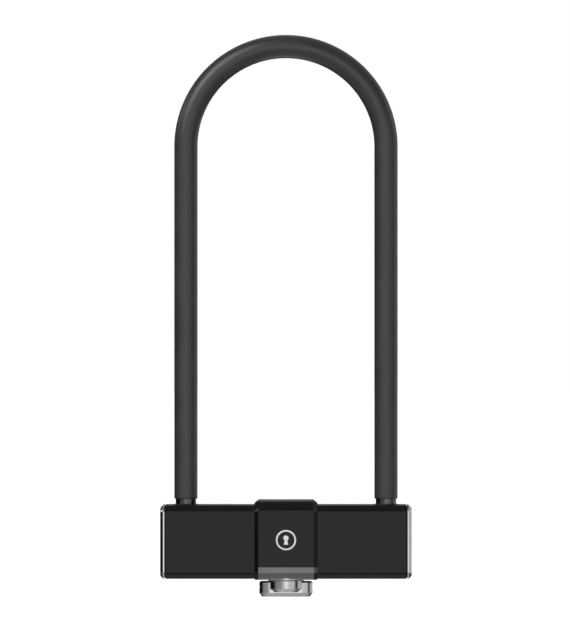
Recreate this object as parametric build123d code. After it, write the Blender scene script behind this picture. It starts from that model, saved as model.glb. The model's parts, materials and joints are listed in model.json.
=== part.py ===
from build123d import *
import math
import os

# U lock: shackle, crossbar and double dead-bolt mechanism. Millimetres.
# X runs along the crossbar, Z along the shackle's legs, the badge faces -Y.
# Z = 0 is the flat underside of the turn knob.

# ---- shackle ---------------------------------------------------------------
LEG_X = 58.0            # leg centre line to the middle plane
ROD_D = 12.0            # bare steel rod
SLEEVE_D = 13.6         # over the jacket
ARCH_Z = 260.9          # height of the bend's centre
SLEEVE_Z0 = 56.7        # lower end of the jacket
FOOT_Z0 = 22.4          # lower end of the feet
NOTCH_Z0, NOTCH_Z1 = 30.0, 42.0
NOTCH_DEPTH = 4.9

# ---- crossbar ---------------------------------------------------------------
BAR_Z0, BAR_Z1 = 10.65, 53.45
BAR_Y = 18.5            # half depth
BAR_X = 72.72           # half length over the end caps
SHELL_X = 69.62         # half length of the shell
BAR_CH = 3.1            # chamfer on the long edges
WALL = 3.0
CAP_X0 = 70.3           # where the cap's flange starts
SPIGOT_X0 = 66.2
CAP_CH_X = 1.65         # cap's outer chamfer, along the crossbar
CAP_CH_FACE = 1.8       # and across its end face
EDGE_R = 2.4            # rounding between the flats and the long chamfers
CAP_INNER_R = 0.5       # the same on the cap's end face

# ---- centre collar -----------------------------------------------------------
COL_X = 18.25
COL_Y = 21.2
COL_Z1 = 56.2
COL_SEAM = 17.6         # joint between collar and base
COL_TOP_CH = 5.0
COL_SIDE_CH = 2.25
COL_CORNER = 0.30        # how far the small corner facets are set in
COL_CREST_R = 3.6       # rounding where the front and back faces turn into the top's slope
COL_RIDGE_R = 6.0       # and where the slope turns into the top
BASE_Z0 = 10.15         # the base hangs a little below the crossbar
BASE_CH = 3.7
BASE_CREST_R = 0.8
BASE_RIDGE_R = 3.0
RECESS_R = 18.4          # shallow recess round the knob, cut into the base's underside
RECESS_X = 15.0          # and its flat sides
RECESS_Z = 11.2
BASE_PLATE_TOP = 12.6

# ---- feet sockets and bolts ---------------------------------------------------
FOOT_BORE = 12.6
SOCKET_X0, SOCKET_X1 = 44.0, 66.0
HOLE_D = 15.0
BOLT_Z0, BOLT_Z1 = 31.0, 41.0
BOLT_Y = 4.5
BOLT_TIP = 51.4
RACK_Z0, RACK_Z1 = 33.0, 39.0
CAV_Z0, CAV_Z1 = 30.7, 41.3

# ---- pinion and racks ----------------------------------------------------------
MODULE = 0.8
TEETH = 8
PRESSURE = math.radians(30.0)
PITCH_R = MODULE * TEETH / 2.0
ADD = 0.70
DED = 0.95
BACKLASH = 0.24

# ---- key cylinder ---------------------------------------------------------------
HOUSING_R = 10.0
HOUSING_BORE_R = 7.6
HOUSING_Z1 = 28.2
ROTOR_R = 7.5
ROTOR_SPIGOT_R = 6.5
ROTOR_BORE_R = 5.6
ROTOR_Z0, ROTOR_Z1 = 3.0, 30.2
PLUG_NOSE_R = 3.1       # the plug's face, seen in the knob's underside
PLUG_NOSE_Z0 = 0.5
KEY_R = 2.6             # the key's round side
KEY_FLAT = 0.8          # and its flat side, from the axis
DISC_R = 5.5
DISC_T = 1.1
DISC_GAP = 0.05
SPACER_T = 0.42
DISC_COUNT = 7
DISC_Z0 = 14.0
GATE_R = 4.3
SIDEBAR_LIFT = 1.2

# ---- knob ----------------------------------------------------------------------
KNOB_LEN = 31.0
KNOB_W = 10.6
KNOB_END = 7.0          # how far back each rounded end starts
WING_TOP = 9.05
KNOB_TOP = 9.4          # top of the barrel
KNOB_CH = 2.2            # chamfer round the underside, up the sides
KNOB_CH_IN = 1.6         # and in from them
KNOB_TOP_CH = 0.9
BARREL_R = 10.5
BARREL_SMALL_R = 8.55
BARREL_CONE_Z0, BARREL_CONE_Z1 = 2.7, 4.6
BEZEL_R = 11.0
BEZEL_Z0 = 9.55


def box(x0, x1, y0, y1, z0, z1):
    return Pos((x0 + x1) / 2, (y0 + y1) / 2, (z0 + z1) / 2) * Box(x1 - x0, y1 - y0, z1 - z0)


def cyl(r, z0, z1, x=0.0, y=0.0):
    return Pos(x, y, (z0 + z1) / 2) * Cylinder(r, z1 - z0)


def cyl_x(r, x0, x1, y, z):
    return Pos((x0 + x1) / 2, y, z) * Rot(0, 90, 0) * Cylinder(r, x1 - x0)


def cyl_y(r, y0, y1, x, z):
    return Pos(x, (y0 + y1) / 2, z) * Rot(90, 0, 0) * Cylinder(r, y1 - y0)


def cone(r0, r1, z0, z1):
    return Pos(0, 0, (z0 + z1) / 2) * Cone(r0, r1, z1 - z0)


def prism(plane, pts, length, rounding=0.0):
    face = make_face(Polyline(*pts, close=True))
    if rounding:
        face = fillet(face.vertices(), rounding)
    return extrude(plane * face, amount=length)


def prism_x(pts, x0, x1, rounding=0.0):
    # pts are (y, z)
    return prism(Plane.YZ.offset(x0), pts, x1 - x0, rounding)


def rounded_prism_x(pts, x0, x1, corners):
    # corners are ((y, z), radius): only those vertices are rounded
    face = make_face(Polyline(*pts, close=True))
    for (cy, cz), radius in corners:
        v = face.vertices().sort_by(lambda q: (q.X - cy) ** 2 + (q.Y - cz) ** 2)[0]
        face = fillet(v, radius)
    return extrude(Plane.YZ.offset(x0) * face, amount=x1 - x0)


def prism_y(pts, y0, y1):
    # pts are (x, z); Plane.XZ looks along -Y, so the solid starts at its far face
    return prism(Plane.XZ.offset(-y1), pts, y1 - y0)


def prism_z(pts, z0, z1, rounding=0.0):
    # pts are (x, y)
    return prism(Plane.XY.offset(z0), pts, z1 - z0, rounding)


def octagon(w, z0, z1, ch):
    return [(-w, z0 + ch), (-w + ch, z0), (w - ch, z0), (w, z0 + ch),
            (w, z1 - ch), (w - ch, z1), (-w + ch, z1), (-w, z1 - ch)]


def mirror_x(shape):
    return mirror(shape, about=Plane.YZ)


def half_turn(shape):
    return Rot(0, 0, 180) * shape


parts = {}

# ================================================================ shackle
def u_path(z0):
    left = Line((-LEG_X, 0, z0), (-LEG_X, 0, ARCH_Z))
    bend = ThreePointArc((-LEG_X, 0, ARCH_Z), (0, 0, ARCH_Z + LEG_X), (LEG_X, 0, ARCH_Z))
    right = Line((LEG_X, 0, ARCH_Z), (LEG_X, 0, z0))
    return left, bend, right


def u_bar(radius, z0, top=ARCH_Z):
    # two straight legs and half a torus
    legs = cyl(radius, z0, top, -LEG_X) + cyl(radius, z0, top, LEG_X)
    section = Plane.XY.offset(ARCH_Z) * Pos(LEG_X, 0) * Circle(radius)
    bend = revolve(section, axis=Axis((0, 0, ARCH_Z), (0, -1, 0)), revolution_arc=180)
    return legs + bend


def u_tube(r_out, r_in, z0):
    ring = Circle(r_out) - Circle(r_in)
    legs = [extrude(Plane.XY.offset(z0) * Pos(x, 0) * ring, amount=ARCH_Z - z0) for x in (-LEG_X, LEG_X)]
    bend = revolve(Plane.XY.offset(ARCH_Z) * Pos(LEG_X, 0) * ring,
                   axis=Axis((0, 0, ARCH_Z), (0, -1, 0)), revolution_arc=180)
    return legs[0] + bend + legs[1]


rod_r = ROD_D / 2
shackle = u_bar(rod_r, FOOT_Z0)
# lead-in cone on each foot, and the notch that takes the bolt on its inner side
for side in (-1, 1):
    cutter = Pos(side * LEG_X, 0, 0) * (cyl(rod_r + 2, FOOT_Z0 - 1, FOOT_Z0 + 1.6)
                                        - cone(rod_r - 1.6, rod_r, FOOT_Z0, FOOT_Z0 + 1.6))
    shackle = shackle - cutter
    x_in = side * (LEG_X - rod_r - 1)
    x_notch = side * (LEG_X - rod_r + NOTCH_DEPTH)
    lo, hi = min(x_in, x_notch), max(x_in, x_notch)
    s = side
    # the notch has sloped ends, so no thin lips are left on the rod
    pts = [(s * (LEG_X - rod_r - 1), NOTCH_Z0 - 1.5), (s * (LEG_X - rod_r + NOTCH_DEPTH), NOTCH_Z0),
           (s * (LEG_X - rod_r + NOTCH_DEPTH), NOTCH_Z1), (s * (LEG_X - rod_r - 1), NOTCH_Z1 + 1.5)]
    shackle = shackle - prism_y(pts, -rod_r - 1, rod_r + 1)
parts["shackle"] = shackle

sleeve = u_tube(SLEEVE_D / 2, rod_r, SLEEVE_Z0)
ends = sleeve.edges().filter_by(GeomType.CIRCLE).filter_by(
    lambda e: abs(e.center().Z - SLEEVE_Z0) < 0.01 and e.radius > rod_r + 0.1)
sleeve = fillet(ends, 0.45)
parts["shackle_sleeve"] = sleeve

# ================================================================ crossbar shell
outer = prism_x(octagon(BAR_Y, BAR_Z0, BAR_Z1, BAR_CH), -SHELL_X, SHELL_X, EDGE_R)
IN_Y, IN_Z0, IN_Z1 = BAR_Y - WALL, BAR_Z0 + WALL, BAR_Z1 - WALL
inner = prism_x(octagon(IN_Y, IN_Z0, IN_Z1, 2.0), -SHELL_X - 1, SHELL_X + 1)
shell = outer - inner
for side in (-1, 1):
    shell = shell - cyl(HOLE_D / 2, IN_Z1 - 2, BAR_Z1 + 1, side * LEG_X)
    for z in (24.0, 40.0):
        shell = shell - cyl_y(1.25, IN_Y - 1, BAR_Y + 1, side * 68.1, z)
# seat under the collar base, and the cylinder's hole
shell = shell - box(-COL_X - 0.1, COL_X + 0.1, -30, 30, BAR_Z0 - 1, BASE_PLATE_TOP + 0.1)
shell = shell - cyl(HOUSING_R + 0.15, BAR_Z0 - 1, IN_Z0 + 2)
parts["crossbar_shell"] = shell

# ================================================================ end caps
def end_cap():
    edge_x = BAR_X - CAP_CH_X
    flange = prism_x(octagon(BAR_Y, BAR_Z0, BAR_Z1, BAR_CH), CAP_X0, edge_x, EDGE_R)
    # the end narrows to its flat face through sloped sides
    outer_face = fillet(make_face(Polyline(*octagon(BAR_Y, BAR_Z0, BAR_Z1, BAR_CH), close=True)).vertices(), EDGE_R)
    small = octagon(BAR_Y - CAP_CH_FACE, BAR_Z0 + CAP_CH_FACE, BAR_Z1 - CAP_CH_FACE,
                    BAR_CH - CAP_CH_FACE * (2 - math.sqrt(2)))
    inner_face = fillet(make_face(Polyline(*small, close=True)).vertices(), CAP_INNER_R)
    flange = flange + loft([Plane.YZ.offset(edge_x) * outer_face, Plane.YZ.offset(BAR_X) * inner_face], ruled=True)
    spigot = prism_x(octagon(IN_Y - 0.1, IN_Z0 + 0.1, IN_Z1 - 0.1, 2.0), SPIGOT_X0, CAP_X0)
    # a neck fills the joint, set in a little from the shell's outside
    neck = prism_x(octagon(BAR_Y - 0.7, BAR_Z0 + 0.7, BAR_Z1 - 0.7, BAR_CH - 0.4), SHELL_X + 0.03, CAP_X0)
    flange = flange + neck
    # the spigot is a ring, open towards the socket
    spigot = spigot - prism_x(octagon(IN_Y - 5.2, IN_Z0 + 4.1, IN_Z1 - 4.1, 1.5), SPIGOT_X0 - 1, CAP_X0 - 0.8)
    cap = flange + spigot
    for z in (24.0, 40.0):
        cap = cap - cyl_y(1.25, IN_Y - 4.2, BAR_Y + 1, 68.1, z)
    return cap


cap = end_cap()
parts["end_cap_right"] = cap
parts["end_cap_left"] = mirror_x(cap)

pins = []
for side in (-1, 1):
    for z in (24.0, 40.0):
        pin = cyl_y(1.25, IN_Y - 4.2, BAR_Y - 0.1, side * 68.1, z)
        pin = pin - cyl_y(0.6, IN_Y - 5, BAR_Y + 1, side * 68.1, z)
        pins.append(pin)
parts["cap_pins"] = Compound(children=[p.solid() for p in pins])

# ================================================================ foot sockets
def foot_socket():
    body = prism_x(octagon(IN_Y - 0.2, IN_Z0 + 0.2, IN_Z1 - 0.2, 2.2), SOCKET_X0, SOCKET_X1)
    body = body - cyl(FOOT_BORE / 2, 20.0, 60.0, LEG_X)
    body = body - box(SOCKET_X0 - 1, LEG_X, -BOLT_Y - 0.3, BOLT_Y + 0.3, CAV_Z0, CAV_Z1)
    # drain under the buffer
    body = body - cyl(2.0, 10.0, 21.0, LEG_X)
    return body


socket = foot_socket()
parts["foot_socket_right"] = socket
parts["foot_socket_left"] = mirror_x(socket)

buffers = [(cyl(5.9, 20.0, 22.0, s * LEG_X) - cyl(2.0, 19.0, 23.0, s * LEG_X)).solid() for s in (-1, 1)]
parts["socket_buffers"] = Compound(children=buffers)

seals = []
for s in (-1, 1):
    ring = cyl(HOLE_D / 2, IN_Z1, BAR_Z1 - 0.25, s * LEG_X) - cyl(6.2, IN_Z1 - 1, BAR_Z1 + 1, s * LEG_X)
    ring = ring - cyl(6.7, IN_Z1 + 0.8, BAR_Z1 - 1.3, s * LEG_X)
    seals.append(ring.solid())
parts["shackle_seals"] = Compound(children=seals)

# ================================================================ bolt housing
HX = 43.8
SPLIT = 36.0


def housing_block(z0, z1):
    full = prism_x(octagon(IN_Y - 0.2, IN_Z0 + 0.2, IN_Z1 - 0.2, 2.2), -HX, HX)
    block = full & box(-HX - 1, HX + 1, -20, 20, z0, z1)
    # lightening pockets at the four corners beside the bolt channels
    block = block - box(-26.0, 26.0, -8.6, 8.6, CAV_Z0, CAV_Z1)
    block = block - box(-HX - 1, HX + 1, -BOLT_Y - 0.3, BOLT_Y + 0.3, CAV_Z0, CAV_Z1)
    return block


SCREW_XY = [(sx * 34.0, sy * 10.4) for sx in (-1, 1) for sy in (-1, 1)]
GUARD_Z1 = IN_Z0 + 2.2
lower = housing_block(IN_Z0 + 0.2, SPLIT - 0.02)
lower = lower - cyl(HOUSING_R + 0.05, 10, HOUSING_Z1 + 0.1)
lower = lower - cyl(9.3, 10, CAV_Z0 + 1)
lower = lower - box(-17.2, 17.2, -20, 20, 10, GUARD_Z1 + 0.05)
lower = lower - cyl_y(2.0, -16, -9.0, 0, 21.0)
upper = housing_block(SPLIT + 0.02, IN_Z1 - 0.2)
upper = upper - cyl(4.0, CAV_Z1 - 1, 46.2)
screws = []
for x, y in SCREW_XY:
    upper = upper - cyl(1.6, 30, 55, x, y) - cyl(2.9, 46.7, 55, x, y)
    lower = lower - cyl(1.5, 22.0, 40, x, y)
    screw = cyl(1.5, 22.4, 46.7, x, y) + cyl(2.75, 46.7, 49.5, x, y)
    hexagon = Pos(x, y, 48.2) * extrude(RegularPolygon(1.25, 6, major_radius=False), amount=3)
    screws.append((screw - hexagon).solid())
for x in (-36.0, 36.0):
    # weight pockets above the bolt channels
    upper = upper - box(min(x - 5, x + 5), max(x - 5, x + 5), -4.5, 4.5, 44.0, 55)
    lower = lower - box(min(x - 5, x + 5), max(x - 5, x + 5), -9.5, 9.5, 10, 20.5)
parts["bolt_housing_lower"] = lower
parts["bolt_housing_upper"] = upper
parts["housing_screws"] = Compound(children=screws)

guard = box(-17.0, 17.0, -13.0, 13.0, IN_Z0 + 0.15, GUARD_Z1) - cyl(HOUSING_R + 0.15, 10, 20)
guard = fillet(guard.edges().filter_by(Axis.Z), 2.0)
parts["guard_plate"] = guard

# ================================================================ pinion and racks
def inv(a):
    return math.tan(a) - a


def pinion_face():
    rb = PITCH_R * math.cos(PRESSURE)
    ra = PITCH_R + ADD
    rf = PITCH_R - DED
    half = math.pi / (2 * TEETH) + inv(PRESSURE)
    flank = []
    steps = 7
    for i in range(steps + 1):
        r = rb + (ra - rb) * i / steps
        a = math.acos(min(1.0, rb / r))
        flank.append((r, half - inv(a)))
    pts = []
    for t in range(TEETH):
        c = 2 * math.pi * t / TEETH
        pts.append((rf, c - half - 0.02))
        pts += [(r, c - w) for r, w in flank]
        pts += [(r, c + w) for r, w in reversed(flank)]
        pts.append((rf, c + half + 0.02))
    xy = [(r * math.cos(a), r * math.sin(a)) for r, a in pts]
    return make_face(Polyline(*xy, close=True))


SHAFT_R = 2.1
pinion = extrude(Plane.XY.offset(32.0) * pinion_face(), amount=8.0)
pinion = pinion + cyl(4.6, 30.9, 32.0)                    # lower shoulder
pinion = pinion + cyl(SHAFT_R, 40.0, 45.6)                # upper journal
pinion = pinion + box(-3.1, 3.1, -1.5, 1.5, 26.6, 30.9)   # tang into the rotor
parts["drive_pinion"] = pinion
bush = cyl(4.0, CAV_Z1 + 0.1, 46.2) - cyl(SHAFT_R + 0.06, 40, 47)
parts["pinion_bush"] = bush

PITCH = math.pi * MODULE


def bolt_right():
    head = box(20.0, BOLT_TIP, -BOLT_Y, BOLT_Y, BOLT_Z0, BOLT_Z1)
    nose = head.edges().filter_by(lambda e: e.center().X > BOLT_TIP - 0.01)
    head = chamfer(nose, 0.8)
    y_root = -PITCH_R - DED
    y_back = y_root - 4.0
    tail = box(-12.0, 20.6, y_back, y_root, RACK_Z0, RACK_Z1)
    # rack teeth point to +Y; a gap is centred on the pinion's axis
    w = (PITCH / 2 - BACKLASH) / 2
    tip_y = -PITCH_R + ADD
    t = math.tan(PRESSURE)
    for k in range(-4, 2):
        cx = (k + 0.5) * PITCH
        pts = [(cx - w - DED * t, y_root - 0.3), (cx - w - DED * t, y_root),
               (cx - w + ADD * t, tip_y), (cx + w - ADD * t, tip_y),
               (cx + w + DED * t, y_root), (cx + w + DED * t, y_root - 0.3)]
        tail = tail + prism_z(pts, RACK_Z0, RACK_Z1)
    # plain guide between the last tooth and the head
    return head + tail


bolt = bolt_right()
parts["bolt_right"] = bolt
parts["bolt_left"] = half_turn(bolt)

# ================================================================ key cylinder
bezel = cyl(BEZEL_R, BEZEL_Z0, RECESS_Z) - cyl(HOUSING_BORE_R + 0.1, 5, 15)
bezel = chamfer(bezel.edges().filter_by(GeomType.CIRCLE).filter_by(
    lambda e: e.radius > BEZEL_R - 0.1 and e.center().Z < BEZEL_Z0 + 0.1), 0.3)
parts["bezel_ring"] = bezel

SIDE_Z0, SIDE_Z1 = 14.2, 24.4
housing = cyl(HOUSING_R, RECESS_Z + 0.02, HOUSING_Z1) - cyl(HOUSING_BORE_R, 5, 40)
for angle in (0, 90):
    housing = housing - Rot(0, 0, angle) * box(5, 8.95, -1.05, 1.05, SIDE_Z0 - 0.4, SIDE_Z1 + 0.4)
housing = housing - cyl_y(1.6, -11, -9.1, 0, 21.0)
parts["cylinder_housing"] = housing
grub = cyl_y(1.95, -15.0, -10.05, 0, 21.0) + cyl_y(1.5, -10.05, -9.15, 0, 21.0)
grub = grub - Pos(0, -15.1, 21.0) * Rot(-90, 0, 0) * extrude(RegularPolygon(1.0, 6, major_radius=False), amount=2.5)
parts["cylinder_grub_screw"] = grub

rotor = cyl(ROTOR_R, KNOB_TOP, ROTOR_Z1) + cyl(ROTOR_SPIGOT_R, ROTOR_Z0, KNOB_TOP)
rotor = rotor - cyl(ROTOR_BORE_R, 0, 25.2)
rotor = rotor - box(4, 9, -1.0, 1.0, SIDE_Z0 - 0.2, SIDE_Z1 + 0.2)
rotor = rotor - box(-3.2, 3.2, -1.6, 1.6, 26.4, 31)
rotor = rotor - (cyl(9, 28.35, 29.45) - cyl(6.7, 28, 30))          # clip groove
rotor = rotor - (cyl(9, 11.4, 12.9) - cyl(6.35, 11, 13.2))         # seal groove
for s in (-1, 1):
    rotor = rotor - cyl_x(1.2, min(s * 6.0, s * 7), max(s * 6.0, s * 7), 0, 5.6)
parts["cylinder_rotor"] = rotor
clip = cyl(8.9, 28.45, 29.35) - cyl(6.75, 28, 30) - box(4.0, 12, -3.2, 3.2, 28, 30)
parts["rotor_clip"] = clip
ring = revolve(Plane.XZ * Pos(6.95, 12.15) * Circle(0.58), axis=Axis.Z, revolution_arc=360)
parts["rotor_seal"] = ring


def keyway(z0, z1):
    profile = Circle(KEY_R) - Pos(0, KEY_FLAT + 3) * Rectangle(10, 6)
    return extrude(Plane.XY.offset(z0) * profile, amount=z1 - z0)


plug = cyl(DISC_R, ROTOR_Z0 + 0.05, DISC_Z0 - 0.1) + cyl(PLUG_NOSE_R, PLUG_NOSE_Z0, ROTOR_Z0 + 0.05)
plug = plug - keyway(0, 20)
parts["keyway_plug"] = plug


def disc_face():
    # spiral gate: the radius grows evenly from GATE_R over a quarter turn
    pts = []
    wall = 1.0
    a0 = -math.asin(wall / GATE_R)
    for i in range(0, 61):
        a = a0 + (math.pi / 2 - a0) * i / 60
        r = min(DISC_R, GATE_R + SIDEBAR_LIFT * max(0.0, a) / (math.pi / 2))
        pts.append((r * math.cos(a), r * math.sin(a)))
    full0 = math.pi / 2
    full1 = 2 * math.pi - math.asin(wall / DISC_R)
    gate = Polyline(*pts)
    start = (DISC_R * math.cos(full0), DISC_R * math.sin(full0))
    mid_a = (full0 + full1) / 2
    end = (DISC_R * math.cos(full1), -wall)
    rim = ThreePointArc(start, (DISC_R * math.cos(mid_a), DISC_R * math.sin(mid_a)), end)
    pts[-1] = start
    gate = Polyline(*pts)
    close = Line(end, pts[0])
    return make_face([*gate.edges(), *rim.edges(), *close.edges()])


discs, spacers = [], []
z = DISC_Z0
for i in range(DISC_COUNT):
    d = extrude(Plane.XY.offset(z + DISC_GAP) * disc_face(), amount=DISC_T - 2 * DISC_GAP) - keyway(0, 40)
    discs.append(d.solid())
    z += DISC_T
    if i < DISC_COUNT - 1:
        # a spacer ring, keyed by a tab in the rotor's slot's opposite side, clear of the sidebar
        sp = cyl(ROTOR_BORE_R - 0.05, z, z + SPACER_T) - cyl(3.4, z - 1, z + 1) - box(4.2, 7, -1.2, 1.2, z - 1, z + 1)
        spacers.append(sp.solid())
        z += SPACER_T
parts["detainer_discs"] = Compound(children=discs)
parts["disc_spacers"] = Compound(children=spacers)
print("disc pack from", DISC_Z0, "to", z)

sidebar = box(4.65, 7.35, -0.8, 0.8, SIDE_Z0, SIDE_Z1)
parts["sidebar"] = sidebar

# ================================================================ knob
wing_x = KNOB_LEN / 2 - KNOB_END
wing_plan = Rectangle(2 * wing_x, KNOB_W)
for s in (-1, 1):
    wing_plan = wing_plan + Pos(s * wing_x, 0) * Ellipse(KNOB_END, KNOB_W / 2)
wing = extrude(wing_plan, amount=WING_TOP)
under = wing.faces().sort_by(Axis.Z)[0]
wing = chamfer(under.edges(), KNOB_CH_IN, KNOB_CH, reference=under)
wing = chamfer(wing.faces().sort_by(Axis.Z)[-1].edges(), KNOB_TOP_CH)
barrel = cyl(BARREL_R, BARREL_CONE_Z1, KNOB_TOP) + cone(BARREL_SMALL_R, BARREL_R, BARREL_CONE_Z0, BARREL_CONE_Z1)
barrel = chamfer(barrel.edges().filter_by(GeomType.CIRCLE).filter_by(
    lambda e: abs(e.center().Z - KNOB_TOP) < 0.01), 0.4)
knob = wing + barrel
knob = knob - cyl(PLUG_NOSE_R + 0.1, -1, 5) - cyl(ROTOR_SPIGOT_R + 0.02, ROTOR_Z0 - 0.02, KNOB_TOP + 1)
for s in (-1, 1):
    knob = knob - cyl_x(1.2, min(s * 5, s * 17), max(s * 5, s * 17), 0, 5.6)
parts["turn_knob"] = knob
grubs = []
for s in (-1, 1):
    g = cyl_x(1.18, min(s * 6.05, s * 13.0), max(s * 6.05, s * 13.0), 0, 5.6)
    g = g - Pos(s * 11.4, 0, 5.6) * Rot(0, 90 * s, 0) * extrude(RegularPolygon(0.65, 6, major_radius=False), amount=3)
    grubs.append(g.solid())
parts["knob_grub_screws"] = Compound(children=grubs)

# ================================================================ collar
def plan(w, d, ch):
    return [(-w, -d + ch), (-w + ch, -d), (w - ch, -d), (w, -d + ch),
            (w, d - ch), (w - ch, d), (-w + ch, d), (-w, d - ch)]


ch = COL_TOP_CH
collar_yz = [(-COL_Y, COL_SEAM + 0.1), (-COL_Y, COL_Z1 - ch), (-COL_Y + ch, COL_Z1),
             (COL_Y - ch, COL_Z1), (COL_Y, COL_Z1 - ch), (COL_Y, COL_SEAM + 0.1),
             (BAR_Y + 0.1, COL_SEAM + 0.1), (BAR_Y + 0.1, BAR_Z1 - BAR_CH + 0.05),
             (BAR_Y - BAR_CH + 0.05, BAR_Z1 + 0.1), (-BAR_Y + BAR_CH - 0.05, BAR_Z1 + 0.1),
             (-BAR_Y - 0.1, BAR_Z1 - BAR_CH + 0.05), (-BAR_Y - 0.1, COL_SEAM + 0.1)]
collar = rounded_prism_x(collar_yz, -COL_X, COL_X, [
    ((-COL_Y, COL_Z1 - ch), COL_CREST_R), ((COL_Y, COL_Z1 - ch), COL_CREST_R),
    ((-COL_Y + ch, COL_Z1), COL_RIDGE_R), ((COL_Y - ch, COL_Z1), COL_RIDGE_R)])
collar = collar & prism_z(plan(COL_X, COL_Y, COL_SIDE_CH), 0, 60)
top_xz = [(-COL_X, 0), (COL_X, 0), (COL_X, COL_Z1 - 1.9), (COL_X - 2.4, COL_Z1),
          (-COL_X + 2.4, COL_Z1), (-COL_X, COL_Z1 - 1.9)]
collar = collar & prism_y(top_xz, -30, 30)


def half_space(point, normal):
    # everything beyond a plane, as one large block
    return Plane(origin=point, z_dir=normal) * (Pos(0, 0, 20) * Box(80, 80, 40))


# chamfers along the sloping edges of the top, and a small facet under each where it meets the side chamfer
slope_y, slope_z = -COL_Y + COL_TOP_CH / 2, COL_Z1 - COL_TOP_CH / 2
root = math.sqrt(0.5)
for sx in (-1, 1):
    for sy in (-1, 1):
        n_side = (sx * root, sy * root, 0)
        n_slope = (sx * root, sy * 0.5, 0.5)
        edge = (sx * (COL_X - 2.4), -sy * slope_y, slope_z)
        collar = collar - half_space(edge, n_slope)
        n_mid = [a + b for a, b in zip(n_side, n_slope)]
        size = math.sqrt(sum(v * v for v in n_mid))
        n_mid = [v / size for v in n_mid]
        # the line where the side chamfer meets the sloping one starts on the front face's upper edge
        start = (sx * (COL_X - COL_SIDE_CH), sy * COL_Y, COL_Z1 - COL_TOP_CH)
        inner = tuple(c - COL_CORNER * v for c, v in zip(start, n_mid))
        collar = collar - half_space(inner, tuple(n_mid))

BADGE_Z = 33.3
BADGE_R = 5.9
BADGE_T = 0.7


def badge_sketch(grow):
    outline = Circle(BADGE_R + grow) - Circle(BADGE_R - 1.05 - grow)
    head = Pos(0, 1.15) * Circle(1.55 + grow)
    stem = make_face(Polyline((-0.62 - grow, 1.0), (0.62 + grow, 1.0), (1.35 + grow, -2.75 - grow),
                              (-1.35 - grow, -2.75 - grow), close=True))
    return outline, head + stem


def badge_solids(grow, y0, y1):
    ring_s, hole_s = badge_sketch(grow)
    place = Plane.XZ.offset(-y1)
    out = []
    for sk in (ring_s, hole_s):
        out.append(extrude(place * Pos(0, BADGE_Z) * sk, amount=y1 - y0))
    return out


for cut in badge_solids(0.04, -COL_Y - 1, -COL_Y + BADGE_T):
    collar = collar - cut
parts["centre_collar"] = collar
parts["badge_inlay"] = Compound(children=[s.solid() for s in badge_solids(0.0, -COL_Y + 0.06, -COL_Y + BADGE_T - 0.02)])

b = BAR_CH
c = BASE_CH
base_yz = [(-COL_Y, COL_SEAM), (-COL_Y, BASE_Z0 + c), (-COL_Y + c, BASE_Z0), (COL_Y - c, BASE_Z0),
           (COL_Y, BASE_Z0 + c), (COL_Y, COL_SEAM), (BAR_Y + 0.1, COL_SEAM), (BAR_Y + 0.1, BAR_Z0 + b),
           (BAR_Y - b + (BASE_PLATE_TOP - BAR_Z0) + 0.1, BASE_PLATE_TOP),
           (-BAR_Y + b - (BASE_PLATE_TOP - BAR_Z0) - 0.1, BASE_PLATE_TOP),
           (-BAR_Y - 0.1, BAR_Z0 + b), (-BAR_Y - 0.1, COL_SEAM)]
base = rounded_prism_x(base_yz, -COL_X, COL_X, [
    ((-COL_Y, BASE_Z0 + c), BASE_CREST_R), ((COL_Y, BASE_Z0 + c), BASE_CREST_R),
    ((-COL_Y + c, BASE_Z0), BASE_RIDGE_R), ((COL_Y - c, BASE_Z0), BASE_RIDGE_R)])
base = base & prism_z(plan(COL_X, COL_Y, COL_SIDE_CH), 0, 60)
# chamfers along the sloping edges of the underside
for sx in (-1, 1):
    for sy in (-1, 1):
        edge = (sx * (COL_X - COL_SIDE_CH), sy * (COL_Y - c / 2), BASE_Z0 + c / 2)
        base = base - half_space(edge, (sx * root, sy * 0.5, -0.5))
base = base - (cyl(RECESS_R, 5, RECESS_Z) & box(-RECESS_X, RECESS_X, -30, 30, 4, 20))
base = base - cyl(HOUSING_R + 0.15, 5, 20)
parts["collar_base"] = base

# ================================================================ write
os.makedirs("parts", exist_ok=True)
for name, shape in parts.items():
    shape.label = name
    export_step(shape, "parts/" + name + ".step")
print(len(parts), "nodes")
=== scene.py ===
import bpy
import bmesh
import json
import math
from mathutils import Vector, Matrix


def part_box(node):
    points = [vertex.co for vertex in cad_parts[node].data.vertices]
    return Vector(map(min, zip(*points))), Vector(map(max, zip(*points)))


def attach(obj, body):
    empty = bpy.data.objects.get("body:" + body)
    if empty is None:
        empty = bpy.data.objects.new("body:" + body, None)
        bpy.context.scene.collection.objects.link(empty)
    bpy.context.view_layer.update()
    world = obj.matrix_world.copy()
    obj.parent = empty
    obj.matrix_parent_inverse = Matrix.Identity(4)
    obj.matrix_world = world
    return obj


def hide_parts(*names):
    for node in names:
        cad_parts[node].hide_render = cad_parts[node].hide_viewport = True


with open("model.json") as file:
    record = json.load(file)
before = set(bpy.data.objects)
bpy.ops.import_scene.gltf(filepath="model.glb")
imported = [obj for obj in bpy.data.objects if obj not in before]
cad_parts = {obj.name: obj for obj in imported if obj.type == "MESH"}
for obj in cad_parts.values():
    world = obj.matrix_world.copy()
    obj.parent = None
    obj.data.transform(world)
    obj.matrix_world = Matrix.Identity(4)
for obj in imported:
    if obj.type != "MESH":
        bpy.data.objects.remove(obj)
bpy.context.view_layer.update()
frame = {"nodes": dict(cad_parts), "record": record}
N = frame["nodes"]
RECORD = frame["record"]
scene = bpy.context.scene
MM = 0.001
slot_of = {s["node"]: s["material_slot"] for s in RECORD["subparts"]}
body_of = {n: b for b, ns in RECORD["behaviour"]["bodies"].items() for n in ns}

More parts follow.
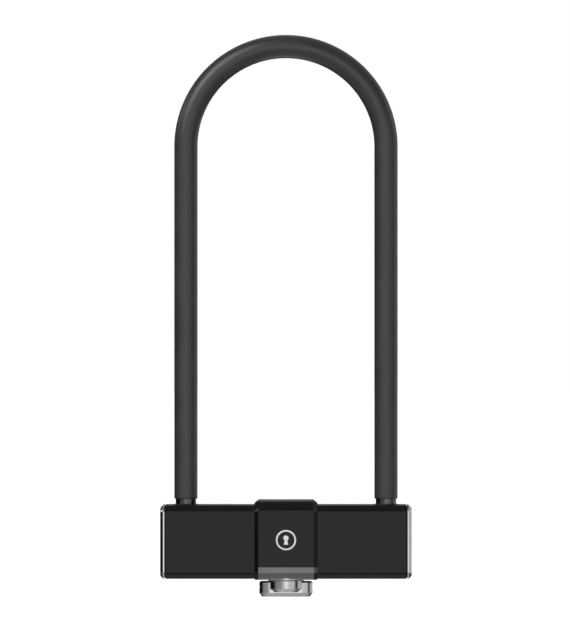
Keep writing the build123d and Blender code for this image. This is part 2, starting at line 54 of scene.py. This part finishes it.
# ------------------------------------------------------------------ node helpers
def new_material(name):
    m = bpy.data.materials.new(name)
    m.use_nodes = True
    nt = m.node_tree
    nt.nodes.clear()
    out = nt.nodes.new("ShaderNodeOutputMaterial")
    bsdf = nt.nodes.new("ShaderNodeBsdfPrincipled")
    nt.links.new(bsdf.outputs["BSDF"], out.inputs["Surface"])
    return m, nt, bsdf


def coords(nt, scale=(1, 1, 1), rot=(0, 0, 0)):
    tc = nt.nodes.new("ShaderNodeTexCoord")
    mp = nt.nodes.new("ShaderNodeMapping")
    mp.inputs["Scale"].default_value = scale
    mp.inputs["Rotation"].default_value = rot
    nt.links.new(tc.outputs["Object"], mp.inputs["Vector"])
    return mp.outputs["Vector"]


def noise(nt, vec, scale, detail=4.0, rough=0.55, distortion=0.0):
    n = nt.nodes.new("ShaderNodeTexNoise")
    n.inputs["Scale"].default_value = scale
    n.inputs["Detail"].default_value = detail
    n.inputs["Roughness"].default_value = rough
    n.inputs["Distortion"].default_value = distortion
    nt.links.new(vec, n.inputs["Vector"])
    return n.outputs["Fac"]


def cells(nt, vec, scale):
    n = nt.nodes.new("ShaderNodeTexVoronoi")
    n.inputs["Scale"].default_value = scale
    nt.links.new(vec, n.inputs["Vector"])
    return n.outputs["Distance"]


def ramp(nt, fac, stops, mode="LINEAR"):
    r = nt.nodes.new("ShaderNodeValToRGB")
    r.color_ramp.interpolation = mode
    e = r.color_ramp.elements
    while len(e) > 1:
        e.remove(e[-1])
    e[0].position, e[0].color = stops[0][0], (*stops[0][1], 1)
    for p, c in stops[1:]:
        x = e.new(p)
        x.color = (*c, 1)
    nt.links.new(fac, r.inputs["Fac"])
    return r.outputs["Color"]


def remap(nt, fac, a, b, c, d, smooth=False):
    r = nt.nodes.new("ShaderNodeMapRange")
    if smooth:
        r.interpolation_type = "SMOOTHSTEP"
    r.inputs["From Min"].default_value = a
    r.inputs["From Max"].default_value = b
    r.inputs["To Min"].default_value = c
    r.inputs["To Max"].default_value = d
    nt.links.new(fac, r.inputs["Value"])
    return r.outputs["Result"]


def calc(nt, op, a, b=0.0, clamp=False):
    n = nt.nodes.new("ShaderNodeMath")
    n.operation = op
    n.use_clamp = clamp
    for i, v in enumerate((a, b)):
        if isinstance(v, (int, float)):
            n.inputs[i].default_value = v
        else:
            nt.links.new(v, n.inputs[i])
    return n.outputs["Value"]


def blend(nt, fac, a, b, kind="MIX"):
    n = nt.nodes.new("ShaderNodeMix")
    n.data_type = "RGBA"
    n.blend_type = kind
    n.clamp_factor = True
    for i, v in ((0, fac), (6, a), (7, b)):
        if isinstance(v, (int, float)):
            n.inputs[i].default_value = v
        elif isinstance(v, tuple):
            n.inputs[i].default_value = (*v, 1)
        else:
            nt.links.new(v, n.inputs[i])
    return n.outputs[2]


def bump(nt, height, distance, strength=1.0, normal=None):
    b = nt.nodes.new("ShaderNodeBump")
    b.inputs["Strength"].default_value = strength
    b.inputs["Distance"].default_value = distance
    nt.links.new(height, b.inputs["Height"])
    if normal is not None:
        nt.links.new(normal, b.inputs["Normal"])
    return b.outputs["Normal"]


def edge_mask(nt):
    # painted on the rounded edges of each piece when it's built
    a = nt.nodes.new("ShaderNodeAttribute")
    a.attribute_name = "edge"
    return a.outputs["Fac"]


def assign(obj, mat):
    obj.data.materials.clear()
    obj.data.materials.append(mat)


# ------------------------------------------------------------------ materials
def metal(name, color, rough, brush=(1, 1, 1), fine=2600.0, line=0.10, patch=0.06, rough_var=0.22,
          relief=1.6e-6, wear=1.25, wear_rough=0.8, pits=0.0, tint=(1, 1, 1), painted_shade=None, satin=0.0):
    """Metal with brushed lines along one direction, cloudy patches, hairline scratches, polished edges and, where a
    painted-shade colour is given, painted shade on the marked faces.
    """
    m, nt, b = new_material(name)
    v = coords(nt)
    vb = coords(nt, brush)
    lines = noise(nt, vb, fine, 5.0, 0.62)
    cloud = noise(nt, v, 70.0, 3.0, 0.5)
    grain = noise(nt, v, 5200.0, 2.0, 0.5)
    # hairlines: thin bands where a stretched noise crosses its middle
    hair_src = noise(nt, coords(nt, tuple(0.6 * x + 0.4 * y for x, y in zip(brush, (0.05, 1, 1))), (0.1, 0.2, 0.35)), 420.0, 2.0, 0.4, 0.6)
    hair = calc(nt, "ABSOLUTE", calc(nt, "SUBTRACT", hair_src, 0.5))
    hair = remap(nt, hair, 0.0, 0.006, 1.0, 0.0)
    worn = calc(nt, "MULTIPLY", edge_mask(nt), remap(nt, noise(nt, v, 900.0, 3.0), 0.35, 0.6, 0.35, 1.0), clamp=True)

    lo = tuple(c * (1 - line) for c in color)
    hi = tuple(min(1.0, c * (1 + line)) for c in color)
    base = ramp(nt, lines, [(0.30, lo), (0.70, hi)])
    base = blend(nt, remap(nt, cloud, 0.35, 0.65, 0.0, 1.0), base, tuple(max(0.0, 1 - patch) * t for t in tint), "MULTIPLY")
    base = blend(nt, calc(nt, "MULTIPLY", hair, 0.18), base, tuple(min(1.0, c * 1.3) for c in color))
    base = blend(nt, worn, base, tuple(min(1.0, c * wear) for c in color))
    if pits:
        pit = remap(nt, cells(nt, v, 650.0), 0.0, 0.16, 1.0, 0.0)
        base = blend(nt, calc(nt, "MULTIPLY", pit, pits), base, tuple(c * 0.4 for c in color))
    if painted_shade is not None:
        # painted shade: the marked faces are darkened to stand in for the shade under the base and inside the cap
        # seams, painted on their faces when the piece is built
        shade_mask = nt.nodes.new("ShaderNodeAttribute")
        shade_mask.attribute_name = "painted_shade"
        shade_mask = shade_mask.outputs["Fac"]
        base = blend(nt, shade_mask, base, ramp(nt, cloud, [(0.3, tuple(c * 0.85 for c in painted_shade)), (0.7, tuple(c * 1.15 for c in painted_shade))]))
    nt.links.new(base, b.inputs["Base Color"])

    r = remap(nt, lines, 0.30, 0.70, rough * (1 - rough_var), rough * (1 + rough_var))
    if painted_shade is not None:
        r = calc(nt, "ADD", r, calc(nt, "MULTIPLY", shade_mask, 0.2))
    if satin:
        flat = nt.nodes.new("ShaderNodeAttribute")
        flat.attribute_name = "satin"
        r = calc(nt, "ADD", r, calc(nt, "MULTIPLY", flat.outputs["Fac"], satin))
    r = calc(nt, "ADD", r, remap(nt, cloud, 0.3, 0.7, -0.12 * rough, 0.12 * rough))
    r = calc(nt, "ADD", r, calc(nt, "MULTIPLY", hair, 0.10))
    r = calc(nt, "MULTIPLY", r, remap(nt, worn, 0.0, 1.0, 1.0, wear_rough), clamp=True)
    nt.links.new(r, b.inputs["Roughness"])
    b.inputs["Metallic"].default_value = 1.0

    h = calc(nt, "ADD", lines, calc(nt, "MULTIPLY", grain, 0.35))
    h = calc(nt, "SUBTRACT", h, calc(nt, "MULTIPLY", hair, 0.8))
    nt.links.new(bump(nt, h, relief), b.inputs["Normal"])
    return m


def coating(name, color, rough, peel=1000.0, relief=5e-6, spec=0.5, wear_to=(0.05, 0.05, 0.05), wear=0.5, speck=0.25, coat=0.0):
    """Satin paint over metal: orange peel, cloudy sheen, tiny specks and edges rubbed lighter."""
    m, nt, b = new_material(name)
    v = coords(nt)
    skin = noise(nt, v, peel, 3.0, 0.45)
    cloud = noise(nt, v, 45.0, 3.0, 0.5)
    fine = noise(nt, v, 6000.0, 2.0, 0.5)
    dots = remap(nt, cells(nt, v, 1500.0), 0.0, 0.10, 1.0, 0.0)
    rub = calc(nt, "MULTIPLY", edge_mask(nt), remap(nt, noise(nt, v, 700.0, 4.0), 0.42, 0.62, 0.15, 1.0), clamp=True)
    lo = tuple(c * 0.86 for c in color)
    hi = tuple(c * 1.14 for c in color)
    base = ramp(nt, cloud, [(0.35, lo), (0.65, hi)])
    base = blend(nt, calc(nt, "MULTIPLY", dots, speck), base, tuple(min(1.0, c * 2.2) for c in color))
    base = blend(nt, calc(nt, "MULTIPLY", rub, wear), base, wear_to)
    nt.links.new(base, b.inputs["Base Color"])
    r = remap(nt, cloud, 0.3, 0.7, rough * 0.90, rough * 1.10)
    r = calc(nt, "ADD", r, remap(nt, fine, 0.3, 0.7, -0.03, 0.03))
    r = calc(nt, "ADD", r, calc(nt, "MULTIPLY", rub, 0.06), clamp=True)
    nt.links.new(r, b.inputs["Roughness"])
    b.inputs["Specular IOR Level"].default_value = spec
    if coat:
        b.inputs["Coat Weight"].default_value = coat
        b.inputs["Coat Roughness"].default_value = 0.25
    h = calc(nt, "ADD", skin, calc(nt, "MULTIPLY", fine, 0.12))
    nt.links.new(bump(nt, h, relief), b.inputs["Normal"])
    return m


def soft(name, color, rough, grain=3200.0, relief=2.2e-5, spec=0.5, sheen=0.0, scuff=0.5, stretch=(1, 1, 1)):
    """Moulded rubber or vinyl: leathery fine grain, mottling, scuffs that catch the light."""
    m, nt, b = new_material(name)
    v = coords(nt)
    g = noise(nt, coords(nt, stretch), grain, 3.0, 0.6)
    c = cells(nt, v, grain * 0.55)
    cloud = noise(nt, v, 38.0, 4.0, 0.55)
    scuffs = remap(nt, noise(nt, coords(nt, (1, 1, 0.12)), 260.0, 5.0, 0.7), 0.60, 0.72, 0.0, 1.0)
    rub = calc(nt, "MULTIPLY", edge_mask(nt), remap(nt, noise(nt, v, 800.0, 3.0), 0.4, 0.6, 0.3, 1.0), clamp=True)
    lo = tuple(x * 0.88 for x in color)
    hi = tuple(x * 1.12 for x in color)
    base = ramp(nt, cloud, [(0.36, lo), (0.64, hi)])
    base = blend(nt, remap(nt, g, 0.35, 0.65, 0.25, 0.0), base, tuple(x * 0.6 for x in color))
    base = blend(nt, calc(nt, "MULTIPLY", scuffs, 0.16 * scuff), base, tuple(min(1.0, x * 2.0) for x in color))
    base = blend(nt, calc(nt, "MULTIPLY", rub, 0.4), base, tuple(min(1.0, x * 1.8) for x in color))
    nt.links.new(base, b.inputs["Base Color"])
    r = remap(nt, g, 0.3, 0.7, rough * 0.92, rough * 1.08)
    r = calc(nt, "ADD", r, remap(nt, cloud, 0.3, 0.7, -0.04, 0.04))
    r = calc(nt, "SUBTRACT", r, calc(nt, "MULTIPLY", scuffs, 0.05 * scuff), clamp=True)
    nt.links.new(r, b.inputs["Roughness"])
    b.inputs["Specular IOR Level"].default_value = spec
    if sheen:
        b.inputs["Sheen Weight"].default_value = sheen
        b.inputs["Sheen Roughness"].default_value = 0.5
    h = calc(nt, "ADD", g, calc(nt, "MULTIPLY", c, 0.5))
    nt.links.new(bump(nt, h, relief, 0.5), b.inputs["Normal"])
    return m


MATS = {
    "hardened_rod": metal("hardened_rod", (0.17, 0.17, 0.173), 0.17, brush=(1, 1, 0.03), wear=1.4),
    "jacket": soft("jacket", (0.046, 0.046, 0.047), 0.38, spec=1.0, sheen=0.0),
    "black_shell": coating("black_shell", (0.0062, 0.0062, 0.0065), 0.27, spec=0.42),
    # silver_trim and gunmetal get painted shade: a dark colour on their marked faces that stands in for shade
    "silver_trim": metal("silver_trim", (0.82, 0.82, 0.83), 0.16, brush=(1, 0.03, 1), line=0.05, painted_shade=(0.012, 0.012, 0.013), satin=0.26),
    "knob_metal": metal("knob_metal", (0.85, 0.85, 0.86), 0.12, brush=(1, 1, 1), fine=1500.0, line=0.04, relief=1.2e-6),
    "gunmetal": metal("gunmetal", (0.22, 0.22, 0.222), 0.20, brush=(0.03, 1, 1), line=0.08, painted_shade=(0.022, 0.022, 0.024)),
    "badge": metal("badge", (0.86, 0.86, 0.85), 0.20, brush=(0.05, 1, 1), line=0.04, patch=0.04),
    "tool_steel": metal("tool_steel", (0.46, 0.455, 0.45), 0.28, brush=(1, 0.05, 1), wear=1.3),
    "zinc_casting": metal("zinc_casting", (0.52, 0.525, 0.54), 0.46, line=0.12, fine=1100.0, relief=1.0e-5, pits=0.5),
    "brass": metal("brass", (0.74, 0.53, 0.24), 0.26, brush=(1, 1, 0.05), wear=1.15, tint=(1.0, 0.96, 0.88)),
    "black_rubber": soft("black_rubber", (0.014, 0.014, 0.015), 0.62, grain=2200.0),
    "black_oxide": metal("black_oxide", (0.055, 0.055, 0.062), 0.36, wear=3.0, line=0.15),
}

# ------------------------------------------------------------------ pieces made from the CAD nodes
def finish_piece(obj, node_name, body=None):
    slot = slot_of[node_name]
    assign(obj, MATS[slot])
    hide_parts(node_name)
    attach(obj, body or body_of[node_name])
    return obj


def weighted(obj):
    w = obj.modifiers.new("weighted", "WEIGHTED_NORMAL")
    w.mode = "FACE_AREA_WITH_ANGLE"
    w.weight = 90
    w.keep_sharp = True


def refine(node_name, width, segments=2, angle=31.0, clamp=True, suffix="_body"):
    """Rebuilds a node as one clean closed mesh with every sharp edge rounded."""
    bm = bmesh.new()
    bm.from_mesh(N[node_name].data)
    bmesh.ops.remove_doubles(bm, verts=bm.verts[:], dist=3e-6)
    bmesh.ops.dissolve_degenerate(bm, edges=bm.edges[:], dist=2e-6)
    bmesh.ops.dissolve_limit(bm, angle_limit=math.radians(0.35), use_dissolve_boundaries=False,
                             verts=bm.verts[:], edges=bm.edges[:])
    if node_name == "shackle_seals":
        top = max(v.co.z for v in bm.verts)
        for v in bm.verts:
            if v.co.z > top - 0.0004:
                v.co.z += 0.00055
    bm.normal_update()
    edge_layer = bm.verts.layers.float.new("edge")
    limit = math.radians(angle)
    sharp = [e for e in bm.edges if len(e.link_faces) == 2 and e.calc_face_angle(0.0) > limit]
    if sharp and width > 0:
        res = bmesh.ops.bevel(bm, geom=sharp, offset=width * MM, offset_type="OFFSET", segments=segments,
                              profile=0.5, affect="EDGES", clamp_overlap=clamp, miter_outer="SHARP", harden_normals=False)
        new = set(res["faces"])
        for f in new:
            for v in f.verts:
                if all(g in new for g in v.link_faces):
                    v[edge_layer] = 1.0
    if node_name in ("bolt_left", "bolt_right"):
        bmesh.ops.dissolve_degenerate(bm, edges=bm.edges[:], dist=2e-6)
    bmesh.ops.recalc_face_normals(bm, faces=bm.faces[:])
    for f in bm.faces:
        f.smooth = True
    for e in bm.edges:
        if len(e.link_faces) == 2 and e.calc_face_angle(0.0) > math.radians(52):
            e.smooth = False
    open_edges = sum(1 for e in bm.edges if len(e.link_faces) != 2)
    mesh = bpy.data.meshes.new(node_name + suffix)
    bm.to_mesh(mesh)
    nv = len(bm.verts)
    bm.free()
    # paints the painted-shade mask (faces darkened to stand in for shade) and the satin mask on the listed faces
    for rules, layer_name in ((PAINTED_SHADE_FACES, "painted_shade"), (SATIN_FACES, "satin")):
        if node_name in rules:
            layer = mesh.attributes.new(layer_name, "FLOAT", "CORNER")
            for poly in mesh.polygons:
                value = 1.0 if rules[node_name](poly.center, poly.normal) else 0.0
                for li in poly.loop_indices:
                    layer.data[li].value = value
    obj = bpy.data.objects.new(node_name + suffix, mesh)
    scene.collection.objects.link(obj)
    weighted(obj)
    print("REFINE", node_name, "verts", nv, "sharp", len(sharp), "open", open_edges)
    return finish_piece(obj, node_name)


# painted shade: the base's underside and the end caps' inner part, seen only in the seam, are darkened to stand in for
# the shade there
CAP_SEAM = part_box("crossbar_shell")[1].x + 0.0005
PAINTED_SHADE_FACES = {
    "collar_base": lambda c, n: n.z < -0.97,
    "end_cap_left": lambda c, n: abs(c.x) < CAP_SEAM,
    "end_cap_right": lambda c, n: abs(c.x) < CAP_SEAM,
}

# the end caps' flat ends are brushed to a duller satin
SATIN_FACES = {
    "end_cap_left": lambda c, n: n.x < -0.98,
    "end_cap_right": lambda c, n: n.x > 0.98,
}

# rounding of each piece's edges, mm, and how many steps it has
EDGES = {
    "crossbar_shell": (0.22, 2), "end_cap_left": (0.08, 2), "end_cap_right": (0.08, 2), "cap_pins": (0.10, 2),
    "foot_socket_left": (0.25, 2), "foot_socket_right": (0.25, 2), "socket_buffers": (0.25, 2), "shackle_seals": (0.12, 2),
    "bolt_housing_lower": (0.25, 2), "bolt_housing_upper": (0.25, 2), "housing_screws": (0.15, 2), "guard_plate": (0.2, 2),
    "pinion_bush": (0.15, 2), "cylinder_housing": (0.2, 2), "cylinder_grub_screw": (0.12, 2), "bezel_ring": (0.10, 2),
    "centre_collar": (0.22, 3), "badge_inlay": (0.08, 2), "collar_base": (0.22, 3), "shackle": (0.3, 2),
    "bolt_left": (0.2, 2), "bolt_right": (0.2, 2), "turn_knob": (0.15, 2), "knob_grub_screws": (0.08, 2),
    "cylinder_rotor": (0.15, 2), "rotor_clip": (0.1, 2), "rotor_seal": (0.0, 1), "drive_pinion": (0.07, 2),
    "disc_spacers": (0.06, 2), "keyway_plug": (0.12, 2), "detainer_discs": (0.08, 2), "sidebar": (0.12, 2),
}
for name, (w, seg) in EDGES.items():
    refine(name, w, seg, clamp=True)


# ------------------------------------------------------------------ the jacket, swept along the shackle
def jacket():
    lo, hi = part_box("shackle_sleeve")
    outer = (hi.y - lo.y) / 2
    leg = hi.x - outer
    top = hi.z - outer - leg          # height of the bend's centre
    inner = 6.0 * MM + 0.00002
    z0 = lo.z
    sides = 64
    # path: left leg up, round the bend, right leg down
    path = []
    steps = 34
    for i in range(steps + 1):
        t = i / steps
        path.append((Vector((-leg, 0, z0 + (top - z0) * t)), Vector((0, 0, 1))))
    arc = 120
    for i in range(1, arc):
        a = math.pi - math.pi * i / arc
        path.append((Vector((leg * math.cos(a), 0, top + leg * math.sin(a))), Vector((math.sin(a), 0, -math.cos(a)))))
    for i in range(steps + 1):
        t = i / steps
        path.append((Vector((leg, 0, top - (top - z0) * t)), Vector((0, 0, -1))))
    bm = bmesh.new()
    edge_layer = bm.verts.layers.float.new("edge")

    def ring(centre, tangent, radius, edge=0.0):
        side = tangent.cross(Vector((0, 1, 0))).normalized()
        out = []
        for k in range(sides):
            a = 2 * math.pi * k / sides
            v = bm.verts.new(centre + (side * math.cos(a) + Vector((0, 1, 0)) * math.sin(a)) * radius)
            v[edge_layer] = edge
            out.append(v)
        return out

    def bridge(a, b):
        for k in range(sides):
            j = (k + 1) % sides
            bm.faces.new((a[k], a[j], b[j], b[k]))

    lip = 0.55 * MM
    first, last = path[0], path[-1]
    rings = [ring(first[0] + first[1] * 0.9 * MM, first[1], inner)]
    rings.append(ring(first[0] + first[1] * 0.12 * MM, first[1], inner, 0.5))
    rings.append(ring(first[0], first[1], inner + 0.12 * MM, 1.0))
    for k in range(0, 6):
        a = math.radians(90.0 * k / 5)
        rings.append(ring(first[0] + first[1] * lip * (1 - math.cos(a)), first[1], outer - lip + lip * math.sin(a), 1.0 if k < 5 else 0.3))
    start = 1
    for p, d in path[start:-1]:
        if (p - first[0]).length < 1.2 * MM or (p - last[0]).length < 1.2 * MM:
            continue
        rings.append(ring(p, d, outer))
    for k in range(5, -1, -1):
        a = math.radians(90.0 * k / 5)
        rings.append(ring(last[0] - last[1] * lip * (1 - math.cos(a)), last[1], outer - lip + lip * math.sin(a), 1.0 if k < 5 else 0.3))
    rings.append(ring(last[0], last[1], inner + 0.12 * MM, 1.0))
    rings.append(ring(last[0] - last[1] * 0.12 * MM, last[1], inner, 0.5))
    rings.append(ring(last[0] - last[1] * 0.9 * MM, last[1], inner))
    # the bore, back along the same path, closes the tube
    inside = [(p, d) for p, d in path if (p - first[0]).length > 2 * MM and (p - last[0]).length > 2 * MM]
    for p, d in reversed(inside[::2]):
        rings.append(ring(p, d, inner))
    for a, b in zip(rings, rings[1:]):
        bridge(a, b)
    bridge(rings[-1], rings[0])
    bmesh.ops.recalc_face_normals(bm, faces=bm.faces[:])
    for f in bm.faces:
        f.smooth = True
    mesh = bpy.data.meshes.new("shackle_jacket")
    bm.to_mesh(mesh)
    bm.free()
    obj = bpy.data.objects.new("shackle_jacket", mesh)
    scene.collection.objects.link(obj)
    weighted(obj)
    return finish_piece(obj, "shackle_sleeve")


jacket()

# ------------------------------------------------------------------ stage
def world_light():
    w = bpy.data.worlds.new("studio")
    scene.world = w
    w.use_nodes = True
    nt = w.node_tree
    nt.nodes.clear()
    out = nt.nodes.new("ShaderNodeOutputWorld")
    bg = nt.nodes.new("ShaderNodeBackground")
    tc = nt.nodes.new("ShaderNodeTexCoord")
    sep = nt.nodes.new("ShaderNodeSeparateXYZ")
    nt.links.new(tc.outputs["Generated"], sep.inputs["Vector"])
    # azimuth from the front (-Y), growing towards +X, as a fraction of a turn
    neg = calc(nt, "MULTIPLY", sep.outputs["Y"], -1.0)
    az = calc(nt, "ARCTAN2", sep.outputs["X"], neg)
    frac = calc(nt, "ADD", calc(nt, "DIVIDE", az, 2 * math.pi), 0.5)
    el = sep.outputs["Z"]

    def deg(d):
        return (d + 180.0) / 360.0

    def g(v):
        return (v, v, v)

    around = ramp(nt, frac, [
        (0.0, g(0.42)), (deg(-166), g(0.42)), (deg(-152), g(0.03)), (deg(-104), g(0.005)), (deg(-86), g(0.005)),
        (deg(-76), g(0.05)), (deg(-67), g(0.20)), (deg(-34), g(0.26)), (deg(-14), g(0.52)), (deg(-3), g(0.88)),
        (deg(6), g(0.88)), (deg(18), g(0.60)), (deg(50), g(0.54)), (deg(58), g(0.44)), (deg(64), g(0.06)),
        (deg(68), g(0.02)), (deg(75), g(0.03)), (deg(81), g(0.30)), (deg(90), g(0.46)), (deg(100), g(0.48)),
        (deg(135), g(0.52)), (1.0, g(0.42))])
    back = sep.outputs["Y"]
    right = sep.outputs["X"]
    across = calc(nt, "ABSOLUTE", right)
    # overhead: dark band above the walls, then a dim ceiling that brightens towards the back
    up = ramp(nt, el, [(0.0, g(0.12)), (0.50, g(0.09)), (0.86, g(0.09)), (0.95, g(0.17)), (1.0, g(0.20))])
    f = calc(nt, "MULTIPLY", remap(nt, back, 0.02, 0.62, 0.0, 1.0), remap(nt, right, -0.55, -0.25, 0.0, 1.0))
    up = blend(nt, f, up, g(0.45))
    # below: a dim floor in front, dark at the sides, bright straight behind
    down_z = calc(nt, "MULTIPLY", el, -1.0)
    down = ramp(nt, down_z, [(0.0, g(0.26)), (0.35, g(0.24)), (0.80, g(0.24)), (0.92, g(0.38)), (1.0, g(0.40))])
    down = blend(nt, remap(nt, back, 0.32, 0.52, 0.0, 1.0), down, g(0.03))
    f = calc(nt, "MULTIPLY", remap(nt, back, 0.06, 0.36, 0.0, 1.0), remap(nt, across, 0.16, 0.30, 1.0, 0.0))
    f = calc(nt, "MULTIPLY", f, remap(nt, back, 0.60, 0.76, 1.0, 0.0))
    down = blend(nt, f, down, g(1.0))
    col = blend(nt, remap(nt, el, 0.10, 0.46, 0.0, 1.0, True), around, up)
    col = blend(nt, remap(nt, down_z, 0.14, 0.42, 0.0, 1.0, True), col, down)

    def panel(direction, inner_deg, outer_deg, value, base):
        d = Vector(direction).normalized()
        dot = nt.nodes.new("ShaderNodeVectorMath")
        dot.operation = "DOT_PRODUCT"
        nt.links.new(tc.outputs["Generated"], dot.inputs[0])
        dot.inputs[1].default_value = d
        f = remap(nt, dot.outputs["Value"], math.cos(math.radians(outer_deg)), math.cos(math.radians(inner_deg)), 0.0, 1.0, True)
        return blend(nt, f, base, g(value))

    # soft box, upper left
    col = panel((-0.55, -0.63, 0.55), 12.0, 25.0, 3.1, col)
    # two small lights behind, level with the corners of the collar
    col = panel((-0.92, 0.21, 0.33), 5.0, 11.0, 2.2, col)
    col = panel((0.92, 0.21, 0.33), 5.0, 11.0, 1.1, col)
    nt.links.new(col, bg.inputs["Color"])
    bg.inputs["Strength"].default_value = 1.0
    nt.links.new(bg.outputs["Background"], out.inputs["Surface"])


world_light()


def emission_material(name, value):
    m = bpy.data.materials.new(name)
    m.use_nodes = True
    nt = m.node_tree
    nt.nodes.clear()
    out = nt.nodes.new("ShaderNodeOutputMaterial")
    e = nt.nodes.new("ShaderNodeEmission")
    e.inputs["Color"].default_value = (value, value, value, 1)
    nt.links.new(e.outputs["Emission"], out.inputs["Surface"])
    return m


def camera_only(o):
    o.visible_diffuse = False
    o.visible_glossy = False
    o.visible_transmission = False
    o.visible_volume_scatter = False
    o.visible_shadow = False


bpy.ops.mesh.primitive_uv_sphere_add(segments=48, ring_count=24, radius=12.0, location=(0, 0, 0))
dome = bpy.context.object
dome.name = "backdrop"
assign(dome, emission_material("backdrop_white", 1.0))
camera_only(dome)

bpy.ops.mesh.primitive_plane_add(size=30, location=(0, 0, -0.0002))
floor = bpy.context.object
floor.name = "floor"
fm = bpy.data.materials.new("floor_pale")
fm.use_nodes = True
nt = fm.node_tree
nt.nodes.clear()
out = nt.nodes.new("ShaderNodeOutputMaterial")
em = nt.nodes.new("ShaderNodeEmission")
em.inputs["Color"].default_value = (0.9, 0.9, 0.9, 1)
df = nt.nodes.new("ShaderNodeBsdfDiffuse")
df.inputs["Color"].default_value = (0.8, 0.8, 0.8, 1)
add = nt.nodes.new("ShaderNodeAddShader")
tr = nt.nodes.new("ShaderNodeBsdfTransparent")
geo = nt.nodes.new("ShaderNodeNewGeometry")
mix = nt.nodes.new("ShaderNodeMixShader")
nt.links.new(em.outputs[0], add.inputs[0])
nt.links.new(df.outputs[0], add.inputs[1])
nt.links.new(geo.outputs["Backfacing"], mix.inputs[0])
nt.links.new(add.outputs[0], mix.inputs[1])
nt.links.new(tr.outputs[0], mix.inputs[2])
nt.links.new(mix.outputs[0], out.inputs["Surface"])
assign(floor, fm)
camera_only(floor)

scene.view_settings.view_transform = "Standard"
scene.view_settings.look = "None"
scene.view_settings.exposure = 0.0
scene.view_settings.gamma = 1.0

# ------------------------------------------------------------------ camera
cam_data = bpy.data.cameras.new("camera")
cam = bpy.data.objects.new("camera", cam_data)
scene.collection.objects.link(cam)
K = 0.58 * MM
FRAME_W, FRAME_H = 570, 630
DIST = 4.5
cam.location = ((FRAME_W / 2 - 285.97) * K, -DIST, (596.45 - FRAME_H / 2) * K)
cam.rotation_euler = (math.radians(90), 0, 0)
cam_data.sensor_fit = "AUTO"
cam_data.sensor_width = 36.0
cam_data.lens = 36.0 * DIST / (FRAME_H * K)
cam_data.clip_start = 0.1
cam_data.clip_end = 60.0
scene.camera = cam
